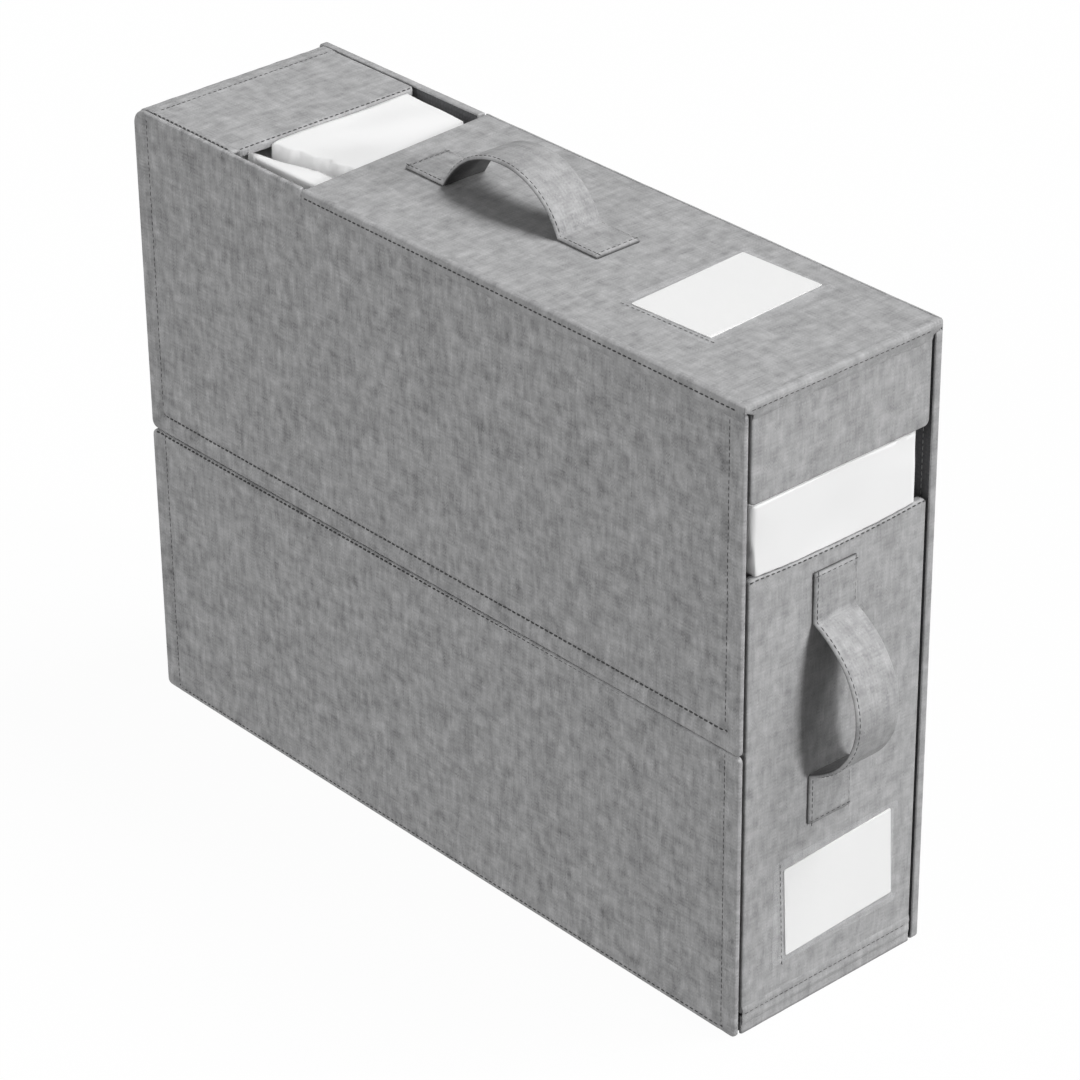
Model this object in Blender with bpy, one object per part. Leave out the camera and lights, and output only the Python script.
# Fold-out bed sheet organizer: a tall, narrow box of fabric covered boards.
# It opens like a cross. The lid folds back over the rear edge and takes the upper front with it,
# and the two end walls fold down from the base.
# X runs along the box, Y from front to back, Z up. The origin is the middle of the underside.

import math

import bmesh
import bpy
from mathutils import Matrix, Vector

MM = 0.001

# The whole box, without its handles
LENGTH = 400 * MM
DEPTH = 114 * MM
HEIGHT = 308 * MM

# Layers of a covered board, from the outside in
SKIN = 0.8 * MM
BOARD = 2.0 * MM
LINING = 0.6 * MM
SEAT_GAP = 0.3 * MM
PANEL = SKIN + SEAT_GAP + BOARD + SEAT_GAP + LINING

# Edges of a covered board
WRAP = 0.8 * MM
EDGE_ROUND = 0.7 * MM
CORNER = 2.0 * MM
CORNER_LEAST = 0.2 * MM
BORDER = 10 * MM
SEAM = 1.5 * MM

# Front, split into a fixed lower half and an upper half that hangs from the lid
LOWER_FRONT = 142.6 * MM
FRONT_SPLIT = 0.6 * MM
SPLIT_CORNER = 5 * MM
FRONT_TOP_CORNER = 8 * MM
FRONT_FOOT_CORNER = 4 * MM

# Top, with a strip from the left wall, a window and the lid
TOP_STRIP = 71 * MM
TOP_WINDOW_BACK = 45 * MM
TOP_WINDOW_FRONT = 52 * MM
NOTCH_GAP = 0.6 * MM

# Ends, which stand between the front and the back
END_INSET = 1 * MM
END_SIDE_GAP = 1 * MM
END_CORNER = 3 * MM
END_STRIP = 48 * MM
END_WINDOW = 34 * MM
WINDOW_SAG = 2 * MM
BASE_RIM = 9 * MM
RIM_FABRIC = 1.7 * MM
HINGE_GAP = 0.45 * MM
HINGE_SLACK = 0.15 * MM

# Fold at the top of the left wall
FOLD_SPAN = 10 * MM
FOLD_ROUND = 5 * MM

# Webbing handles
STRAP_WIDTH = 25 * MM
STRAP = 1.8 * MM
HANDLE_SPAN = 75 * MM
TOP_STRAP_TAB = 27.5 * MM
TOP_HANDLE_RISE = 22 * MM
TOP_HANDLE_LEFT = 2.6 * MM
TOP_HANDLE_BACK = 2.5 * MM
END_STRAP_TAB = 24 * MM
END_HANDLE_RISE = 26.5 * MM
END_HANDLE_FRONT = 2.8 * MM
TOP_ALONG_SHARES = (0, 0.25, 0.88, 1)
TOP_OUT_SHARES = (0, 1.44, 1.22, 0)
END_ALONG_SHARES = (0, 0.28, 0.75, 1)
END_OUT_SHARES = (0, 1.10, 1.56, 0)

# Label cards in clear pockets
CARD_LONG = 68 * MM
CARD_SHORT = 45 * MM
CARD = 0.4 * MM
CARD_CORNER = 0.6 * MM
FILM = 0.4 * MM
FILM_BORDER = 3.5 * MM
TOP_LABEL_FROM_RIGHT = 76 * MM
TOP_LABEL_BACK = 6.8 * MM
END_LABEL_HEIGHT = 53.5 * MM
END_LABEL_BACK = 3.4 * MM
HANDLE_ABOVE_LABEL = 12.6 * MM

# Hook and loop closures
TAPE = 0.8 * MM
TAPE_WIDTH = 8 * MM
TAPE_END = 22 * MM
TONGUE = 1.0 * MM
TONGUE_SEWN = 25 * MM
TONGUE_RISE = 12 * MM
TONGUE_END = 16 * MM
EAR = 1.2 * MM
EAR_TALL = 25 * MM
EAR_SEWN = 22 * MM
EAR_REACH = 28 * MM
EAR_DROP = 12 * MM
PAD_INSET = 2.5 * MM

ARC_STEPS = 4
ROUND_STEPS = 2
STRAP_STEPS = 18
BOW_STEPS = 8

# Places that follow from the sizes above
END_X = LENGTH / 2 - END_INSET
END_HALF = DEPTH / 2 - PANEL - END_SIDE_GAP
UNDER_LID = HEIGHT - PANEL - SEAT_GAP
LID_LEFT_BACK = -LENGTH / 2 + TOP_STRIP + TOP_WINDOW_BACK
LID_LEFT_FRONT = -LENGTH / 2 + TOP_STRIP + TOP_WINDOW_FRONT
BOARD_INSET = WRAP + SEAT_GAP
FLANGE = SKIN + SEAT_GAP + LINING
END_WALL_FOOT = BASE_RIM + HINGE_GAP
END_FLAP_TOP = HEIGHT - END_STRIP - END_WINDOW
FOLD_FOOT = HEIGHT - FOLD_SPAN
FOLD_CREASE = -END_X + FOLD_SPAN
END_LABEL_TOP = END_LABEL_HEIGHT + CARD_SHORT / 2 + FILM_BORDER + FILM
END_HANDLE_HEIGHT = END_LABEL_TOP + HANDLE_ABOVE_LABEL + END_STRAP_TAB + HANDLE_SPAN / 2

X = Vector((1, 0, 0))
Y = Vector((0, 1, 0))
Z = Vector((0, 0, 1))

# Colour, roughness and metallic value of each finish
FINISHES = {
    "linen": ((0.36, 0.36, 0.365), 0.92, 0.0),
    "lining": ((0.16, 0.16, 0.165), 0.95, 0.0),
    "board": ((0.42, 0.31, 0.20), 0.90, 0.0),
    "webbing": ((0.33, 0.33, 0.335), 0.92, 0.0),
    "tape": ((0.09, 0.09, 0.095), 0.97, 0.0),
    "card": ((0.86, 0.86, 0.85), 0.60, 0.0),
    "film": ((0.90, 0.92, 0.93), 0.08, 0.0),
}


def make_face_frame(origin, along, up):
    # Local axes: along, up, and outward, which is their cross product.
    outward = along.cross(up)
    frame = Matrix.Identity(4)
    for row in range(3):
        frame[row][0] = along[row]
        frame[row][1] = up[row]
        frame[row][2] = outward[row]
        frame[row][3] = origin[row]
    return frame


FRONT = make_face_frame(-Y * DEPTH / 2, X, Z)
BACK = make_face_frame(Y * DEPTH / 2, -X, Z)
TOP = make_face_frame(Z * HEIGHT, X, Y)
UNDERSIDE = make_face_frame(Z * 0, X, -Y)
RIGHT = make_face_frame(X * END_X, Y, Z)
LEFT = make_face_frame(-X * END_X, -Y, Z)
ALONG_DEPTH = make_face_frame(Z * 0, X, Z)
ALONG_HEIGHT = make_face_frame(Z * 0, X, Y)


# Outlines

def rectangle(left, right, low, high, radii):
    places = ((left, low), (right, low), (right, high), (left, high))
    return [(u, v, radius) for (u, v), radius in zip(places, radii)]


def offset_outline(corners, insets):
    # Moves each side inward by its own inset and trims the corner radii to match.
    count = len(corners)
    if isinstance(insets, (int, float)):
        insets = [insets] * count
    moved = []
    for i in range(count):
        before = Vector(corners[i - 1][:2])
        here = Vector(corners[i][:2])
        after = Vector(corners[(i + 1) % count][:2])
        arriving = (here - before).normalized()
        leaving = (after - here).normalized()
        turn = arriving.cross(leaving)
        inset_in = insets[i - 1]
        inset_out = insets[i]
        inward_in = Vector((-arriving.y, arriving.x))
        inward_out = Vector((-leaving.y, leaving.x))
        if abs(turn) < 1e-6:
            place = here + inward_in * inset_in
        else:
            shift = (inward_out * inset_out - inward_in * inset_in).cross(leaving) / turn
            place = here + inward_in * inset_in + arriving * shift
        radius = corners[i][2]
        if radius:
            nearest = min(inset_in, inset_out)
            radius = radius - nearest if turn > 0 else radius + nearest
            radius = max(radius, CORNER_LEAST)
        moved.append((place.x, place.y, radius))
    return moved


def round_outline(corners):
    # Replaces each corner that has a radius by an arc; the others stay single points.
    points = []
    count = len(corners)
    for i in range(count):
        here = Vector(corners[i][:2])
        radius = corners[i][2]
        if not radius:
            points.append(here)
            continue
        arriving = (here - Vector(corners[i - 1][:2])).normalized()
        leaving = (Vector(corners[(i + 1) % count][:2]) - here).normalized()
        angle = math.atan2(arriving.cross(leaving), arriving.dot(leaving))
        start = here - arriving * radius * math.tan(abs(angle) / 2)
        side = 1 if angle > 0 else -1
        centre = start + Vector((-arriving.y, arriving.x)) * radius * side
        spoke = start - centre
        for step in range(ARC_STEPS + 1):
            points.append(centre + Matrix.Rotation(angle * step / ARC_STEPS, 2) @ spoke)
    return points


def bezier(shares, t):
    first, second, third, fourth = shares
    rest = 1 - t
    return (first * rest ** 3 + 3 * second * rest ** 2 * t
            + 3 * third * rest * t ** 2 + fourth * t ** 3)


def band(path, thickness):
    # Outline of a strip of even thickness that follows an open path.
    outer = []
    inner = []
    last = len(path) - 1
    for i, here in enumerate(path):
        arriving = (here - path[max(i - 1, 0)]) if i else (path[1] - here)
        leaving = (path[min(i + 1, last)] - here) if i < last else arriving
        arriving = arriving.normalized()
        leaving = leaving.normalized()
        across = Vector((-arriving.y - leaving.y, arriving.x + leaving.x)).normalized()
        reach = thickness / 2 / across.dot(Vector((-arriving.y, arriving.x)))
        outer.append(here + across * reach)
        inner.append(here - across * reach)
    return outer + inner[::-1]


# Solids

def skin_rings(frame, rings):
    # A closed body through rings of points; each ring has one height along the outward axis.
    bm = bmesh.new()
    loops = []
    for points, height in rings:
        loops.append([bm.verts.new(frame @ Vector((p[0], p[1], height))) for p in points])
    for lower, upper in zip(loops, loops[1:]):
        for i in range(len(lower)):
            j = (i + 1) % len(lower)
            bm.faces.new((lower[i], lower[j], upper[j], upper[i]))
    bm.faces.new(loops[0])
    bm.faces.new(loops[-1])
    bmesh.ops.recalc_face_normals(bm, faces=bm.faces)
    return bm


def layered(frame, corners, layers):
    rings = []
    for insets, height in layers:
        rings.append((round_outline(offset_outline(corners, insets)), height))
    return skin_rings(frame, rings)


def rounded_edge(radius, top):
    layers = []
    for step in range(ROUND_STEPS + 1):
        angle = math.pi / 2 * step / ROUND_STEPS
        layers.append((radius * (1 - math.sin(angle)), top - radius * (1 - math.cos(angle))))
    return layers


def prism(frame, points, low, high):
    return skin_rings(frame, [(points, low), (points, high)])


# Bodies and pieces

class Body:
    # The pieces that move as one. The empty stands on the joint's axis.
    def __init__(self, name, pivot, parent=None):
        self.pivot = Vector(pivot)
        self.empty = bpy.data.objects.new(name + "_pivot", None)
        self.empty.empty_display_size = BORDER
        bpy.context.collection.objects.link(self.empty)
        if parent:
            self.empty.parent = parent.empty
            self.empty.location = self.pivot - parent.pivot
        else:
            self.empty.location = self.pivot


def make_material(name, finish):
    colour, roughness, metallic = FINISHES[finish]
    material = bpy.data.materials.new(name)
    material.use_nodes = True
    shader = material.node_tree.nodes["Principled BSDF"]
    shader.inputs["Base Color"].default_value = (*colour, 1)
    shader.inputs["Roughness"].default_value = roughness
    shader.inputs["Metallic"].default_value = metallic
    if finish == "film":
        shader.inputs["Transmission Weight"].default_value = 0.9
    material.diffuse_color = (*colour, 1)
    return material


def add_piece(name, body, bm, finish, smooth=False):
    bm.transform(Matrix.Translation(-body.pivot))
    mesh = bpy.data.meshes.new(name)
    bm.to_mesh(mesh)
    bm.free()
    piece = bpy.data.objects.new(name, mesh)
    piece.parent = body.empty
    piece.data.materials.append(make_material(name, finish))
    bpy.context.collection.objects.link(piece)
    if smooth:
        mesh.shade_smooth()
        mesh.set_sharp_from_angle(angle=math.radians(40))
    return piece


def add_wrapped_panel(name, body, frame, corners):
    # The outer fabric is turned round the board's edges; the lining closes the back.
    sunk = -(PANEL - LINING)
    cover = rounded_edge(EDGE_ROUND, 0) + [(0, -PANEL), (WRAP, -PANEL), (WRAP, -SKIN)]
    board = [(BOARD_INSET, -(SKIN + SEAT_GAP)), (BOARD_INSET, -(SKIN + SEAT_GAP + BOARD))]
    lining = [(BOARD_INSET, sunk), (BOARD_INSET, -PANEL)]
    add_piece(name + "_cover", body, layered(frame, corners, cover), "linen", smooth=True)
    add_piece(name + "_board", body, layered(frame, corners, board), "board")
    add_piece(name + "_lining", body, layered(frame, corners, lining), "lining")


def add_bordered_panel(name, body, frame, corners, borders):
    # Outer fabric and lining are sewn flat together round the board, which leaves a thin border.
    pocket = [border + LINING for border in borders]
    board_edge = [border + LINING + SEAT_GAP for border in borders]
    facing = -(SKIN + SEAT_GAP)
    cover = rounded_edge(SKIN / 2, 0) + [(0, -SKIN)]
    board = [(board_edge, facing), (board_edge, facing - BOARD)]
    lining = [
        (pocket, -(PANEL - LINING)),
        (pocket, facing),
        (0, facing),
        (0, -FLANGE),
        (borders, -FLANGE),
        (borders, -PANEL),
    ]
    add_piece(name + "_cover", body, layered(frame, corners, cover), "linen", smooth=True)
    add_piece(name + "_board", body, layered(frame, corners, board), "board")
    add_piece(name + "_lining", body, layered(frame, corners, lining), "lining")


# The fixed shell: base, back and lower front

def add_base(body):
    half_length = END_X - RIM_FABRIC - SEAT_GAP
    half_depth = DEPTH / 2 - PANEL - SEAT_GAP
    corners = rectangle(-half_length, half_length, -half_depth, half_depth, [CORNER] * 4)
    add_wrapped_panel("base", body, UNDERSIDE, corners)
    strip = rectangle(-END_HALF, END_HALF, 0, BASE_RIM, [CORNER_LEAST] * 4)
    layers = rounded_edge(EDGE_ROUND, 0) + [(0, -RIM_FABRIC)]
    add_piece("base_rim_right", body, layered(RIGHT, strip, layers), "linen", smooth=True)
    add_piece("base_rim_left", body, layered(LEFT, strip, layers), "linen", smooth=True)


def add_back(body):
    # The back rises to the top beside the lid and stops under it elsewhere.
    half = LENGTH / 2
    step = -(LID_LEFT_BACK - NOTCH_GAP)
    corners = [
        (-half, 0, CORNER),
        (half, 0, CORNER),
        (half, HEIGHT, CORNER),
        (step, HEIGHT, CORNER),
        (step, UNDER_LID, CORNER_LEAST),
        (-half, UNDER_LID, CORNER),
    ]
    add_wrapped_panel("back", body, BACK, corners)


def add_lower_front(body):
    half = LENGTH / 2
    radii = [FRONT_FOOT_CORNER, FRONT_FOOT_CORNER, SPLIT_CORNER, SPLIT_CORNER]
    corners = rectangle(-half, half, 0, LOWER_FRONT, radii)
    add_bordered_panel("front_lower", body, FRONT, corners, [SEAM, BORDER, SEAM, BORDER])


def add_closure_tongue(body):
    inside = -(PANEL + SEAT_GAP)
    half = LENGTH / 2 - TONGUE_END
    low = LOWER_FRONT - TONGUE_SEWN
    corners = rectangle(-half, half, low, LOWER_FRONT + TONGUE_RISE, [CORNER] * 4)
    tongue = layered(FRONT, corners, [(0, inside), (0, inside - TONGUE)])
    add_piece("closure_tongue", body, tongue, "linen")
    tape = layered(FRONT, closure_tape_outline(), [(0, inside + SEAT_GAP), (0, inside + SEAT_GAP + TAPE)])
    add_piece("closure_loop_tape", body, tape, "tape")


def closure_tape_outline():
    half = LENGTH / 2 - TAPE_END
    middle = LOWER_FRONT + FRONT_SPLIT + BORDER / 2
    low = middle - TAPE_WIDTH / 2
    return rectangle(-half, half, low, low + TAPE_WIDTH, [CORNER] * 4)


def add_ear(name, body, side, wall_top):
    # A sewn tab behind an end wall, which its hook and loop pads hold shut.
    back_lining = DEPTH / 2 - PANEL
    end_lining = END_X - PANEL
    loop_face = end_lining - 2 * (SEAT_GAP + TAPE)
    free_leg = loop_face - SEAT_GAP - EAR / 2
    sewn_leg = back_lining - SEAT_GAP - EAR / 2
    path = [
        Vector((side * (free_leg - EAR_SEWN), sewn_leg)),
        Vector((side * free_leg, sewn_leg)),
        Vector((side * free_leg, sewn_leg - EAR_REACH)),
    ]
    high = wall_top - EAR_DROP
    low = high - EAR_TALL
    add_piece(name, body, prism(ALONG_HEIGHT, band(path, EAR), low, high), "linen")
    return free_leg + EAR / 2 + SEAT_GAP, low, high


def pad_on_end(frame, side, face, low, high):
    # A pad as tall and wide as the free leg of the ear allows; face is its inner distance from the centre.
    back_edge = DEPTH / 2 - PANEL - SEAT_GAP - EAR - PAD_INSET
    front_edge = back_edge - EAR_REACH + EAR + 2 * PAD_INSET
    spans = sorted((side * front_edge, side * back_edge))
    corners = rectangle(spans[0], spans[1], low + PAD_INSET, high - PAD_INSET, [CORNER] * 4)
    depth = face - END_X
    return layered(frame, corners, [(0, depth), (0, depth + TAPE)])


def add_end_closure(name, root, wall, frame, side, wall_top):
    loop_face, low, high = add_ear(name + "_ear", root, side, wall_top)
    loop = pad_on_end(frame, side, loop_face, low, high)
    hook = pad_on_end(frame, side, loop_face + TAPE + SEAT_GAP, low, high)
    add_piece(name + "_ear_loop_pad", root, loop, "tape")
    add_piece(name + "_hook_pad", wall, hook, "tape")


# The lid and what hangs from it

def add_lid(body):
    right = LENGTH / 2
    front = -DEPTH / 2
    back = DEPTH / 2 - HINGE_SLACK
    corners = [
        (LID_LEFT_FRONT, front, CORNER),
        (right, front, CORNER),
        (right, back, CORNER),
        (LID_LEFT_BACK, back, CORNER),
    ]
    add_wrapped_panel("lid", body, TOP, corners)


def add_upper_front(body):
    # Its top edge is stepped: under the lid it stops below the lid's edge.
    half = LENGTH / 2
    low = LOWER_FRONT + FRONT_SPLIT
    step = LID_LEFT_FRONT - NOTCH_GAP
    corners = [
        (-half, low, SPLIT_CORNER),
        (half, low, SPLIT_CORNER),
        (half, UNDER_LID, CORNER),
        (step, UNDER_LID, CORNER_LEAST),
        (step, HEIGHT, CORNER),
        (-half, HEIGHT, FRONT_TOP_CORNER),
    ]
    borders = [BORDER, BORDER, SEAM, SEAM, SEAM, BORDER]
    add_bordered_panel("front_upper", body, FRONT, corners, borders)
    outer = -(FLANGE + SEAT_GAP)
    tape = layered(FRONT, closure_tape_outline(), [(0, outer), (0, outer - TAPE)])
    add_piece("closure_hook_tape", body, tape, "tape")


def add_end_tuck(body):
    low = HEIGHT - END_STRIP
    corners = rectangle(-END_HALF, END_HALF, low, UNDER_LID, [END_CORNER, END_CORNER, CORNER, CORNER])
    add_wrapped_panel("end_tuck", body, RIGHT, corners)


# The end walls

def bowed_top(left, right, high, sag):
    # Points of a top edge from right to left that dips towards its middle.
    points = []
    for step in range(1, BOW_STEPS):
        share = step / BOW_STEPS
        dip = 4 * share * (1 - share) * sag
        points.append((right + (left - right) * share, high - dip, 0))
    return points


def add_end_flap(body):
    corners = [
        (-END_HALF, END_WALL_FOOT, CORNER),
        (END_HALF, END_WALL_FOOT, CORNER),
        (END_HALF, END_FLAP_TOP, END_CORNER),
        *bowed_top(-END_HALF, END_HALF, END_FLAP_TOP, WINDOW_SAG),
        (-END_HALF, END_FLAP_TOP, END_CORNER),
    ]
    add_wrapped_panel("end_flap", body, RIGHT, corners)


def add_left_wall(body):
    corners = rectangle(-END_HALF, END_HALF, END_WALL_FOOT, FOLD_FOOT - SEAT_GAP, [CORNER] * 4)
    add_wrapped_panel("left_wall", body, LEFT, corners)
    add_left_fold(body)


def add_left_fold(body):
    # Soft bend of two fabric layers from the left wall to the strip on the top.
    middle = RIM_FABRIC / 2
    bend = FOLD_ROUND - middle
    centre = Vector((-END_X + FOLD_ROUND, HEIGHT - FOLD_ROUND))
    path = [Vector((-END_X + middle, FOLD_FOOT))]
    for step in range(ARC_STEPS + 1):
        angle = math.pi - math.pi / 2 * step / ARC_STEPS
        path.append(centre + Vector((math.cos(angle), math.sin(angle))) * bend)
    path.append(Vector((FOLD_CREASE - SEAT_GAP, HEIGHT - middle)))
    fold = prism(ALONG_DEPTH, band(path, RIM_FABRIC), -END_HALF, END_HALF)
    add_piece("left_fold", body, fold, "linen", smooth=True)


def add_left_tuck(body):
    left = FOLD_CREASE + HINGE_SLACK
    right = -LENGTH / 2 + TOP_STRIP
    corners = rectangle(left, right, -END_HALF, END_HALF, [CORNER, END_CORNER, END_CORNER, CORNER])
    add_wrapped_panel("left_tuck", body, TOP, corners)


# Handles and labels

def handle_path(along_shares, out_shares, rise, tab):
    # Flat sewn tabs at both ends and a free loop between them; u runs along, v outward.
    seat = SEAT_GAP + STRAP / 2
    lift = rise - seat - STRAP / 2
    start = -HANDLE_SPAN / 2
    path = [Vector((start - tab, seat))]
    for step in range(STRAP_STEPS + 1):
        t = step / STRAP_STEPS
        along = start + HANDLE_SPAN * bezier(along_shares, t)
        path.append(Vector((along, seat + lift * bezier(out_shares, t))))
    path.append(Vector((-start + tab, seat)))
    return path


def add_handle(name, body, frame, path):
    profile = band(path, STRAP)
    strap = prism(frame, profile, -STRAP_WIDTH / 2, STRAP_WIDTH / 2)
    add_piece(name, body, strap, "webbing", smooth=True)


def add_top_handle(body):
    centre = Vector((-TOP_HANDLE_LEFT, TOP_HANDLE_BACK, HEIGHT))
    path = handle_path(TOP_ALONG_SHARES, TOP_OUT_SHARES, TOP_HANDLE_RISE, TOP_STRAP_TAB)
    add_handle("top_handle", body, make_face_frame(centre, X, Z), path)


def add_end_handle(body):
    # The loop hangs fuller on its lower side.
    centre = Vector((END_X, -END_HANDLE_FRONT, END_HANDLE_HEIGHT))
    path = handle_path(END_ALONG_SHARES, END_OUT_SHARES, END_HANDLE_RISE, END_STRAP_TAB)
    add_handle("end_handle", body, make_face_frame(centre, -Z, X), path)


def cut_card_slot(pocket, body, frame, half_long, half_short):
    # The pocket is open at one short end, where the card slides in.
    slot = rectangle(half_long - FILM_BORDER, half_long + 2 * FILM_BORDER, -half_short, half_short,
                     [CARD_CORNER] * 4)
    bm = prism(frame, round_outline(slot), -SEAT_GAP, 2 * SEAT_GAP + CARD)
    bm.transform(Matrix.Translation(-body.pivot))
    mesh = bpy.data.meshes.new(pocket.name + "_slot")
    bm.to_mesh(mesh)
    bm.free()
    cutter = bpy.data.objects.new(pocket.name + "_slot", mesh)
    cutter.parent = body.empty
    cutter.hide_render = True
    cutter.display_type = "WIRE"
    bpy.context.collection.objects.link(cutter)
    cut = pocket.modifiers.new("card_slot", "BOOLEAN")
    cut.operation = "DIFFERENCE"
    cut.object = cutter


def add_label(name, body, frame):
    # A card and the clear film over it, sewn to the panel round its border.
    half_long = CARD_LONG / 2
    half_short = CARD_SHORT / 2
    edge = rectangle(-half_long, half_long, -half_short, half_short, [CARD_CORNER] * 4)
    card = layered(frame, edge, [(0, SEAT_GAP), (0, SEAT_GAP + CARD)])
    add_piece(name + "_card", body, card, "card")
    ceiling = 2 * SEAT_GAP + CARD
    border = FILM_BORDER + FILM
    outline = rectangle(-half_long - border, half_long + border, -half_short - border,
                        half_short + border, [CORNER] * 4)
    layers = [
        (border - SEAT_GAP, ceiling),
        (border - SEAT_GAP, SEAT_GAP),
        (0, SEAT_GAP),
        (0, SEAT_GAP + FILM),
        (FILM_BORDER - SEAT_GAP, SEAT_GAP + FILM),
        (FILM_BORDER - SEAT_GAP, ceiling + FILM),
    ]
    pocket = add_piece(name + "_pocket", body, layered(frame, outline, layers), "film")
    cut_card_slot(pocket, body, frame, half_long, half_short)


def add_labels(lid, end_flap):
    top_place = Vector((LENGTH / 2 - TOP_LABEL_FROM_RIGHT, TOP_LABEL_BACK, HEIGHT))
    add_label("top_label", lid, make_face_frame(top_place, Y, -X))
    end_place = Vector((END_X, END_LABEL_BACK, END_LABEL_HEIGHT))
    add_label("end_label", end_flap, make_face_frame(end_place, Y, Z))


def clear_scene():
    for item in list(bpy.data.objects):
        bpy.data.objects.remove(item, do_unlink=True)


def build():
    clear_scene()
    root = Body("root", (0, 0, 0))
    lid = Body("lid", (0, DEPTH / 2, HEIGHT - PANEL), root)
    front_flap = Body("front_flap", (0, -DEPTH / 2, HEIGHT), lid)
    end_tuck = Body("end_tuck", (END_X, 0, UNDER_LID), lid)
    foot_axis = BASE_RIM + HINGE_GAP / 2
    end_flap = Body("end_flap", (END_X, 0, foot_axis), root)
    left_wall = Body("left_wall", (-END_X, 0, foot_axis), root)
    left_tuck = Body("left_tuck", (FOLD_CREASE, 0, HEIGHT), left_wall)

    add_base(root)
    add_back(root)
    add_lower_front(root)
    add_closure_tongue(root)
    add_lid(lid)
    add_upper_front(front_flap)
    add_end_tuck(end_tuck)
    add_end_flap(end_flap)
    add_left_wall(left_wall)
    add_left_tuck(left_tuck)
    add_end_closure("end_flap", root, end_flap, RIGHT, 1, END_FLAP_TOP)
    add_end_closure("left_wall", root, left_wall, LEFT, -1, FOLD_FOOT)
    add_top_handle(lid)
    add_end_handle(end_flap)
    add_labels(lid, end_flap)


build()
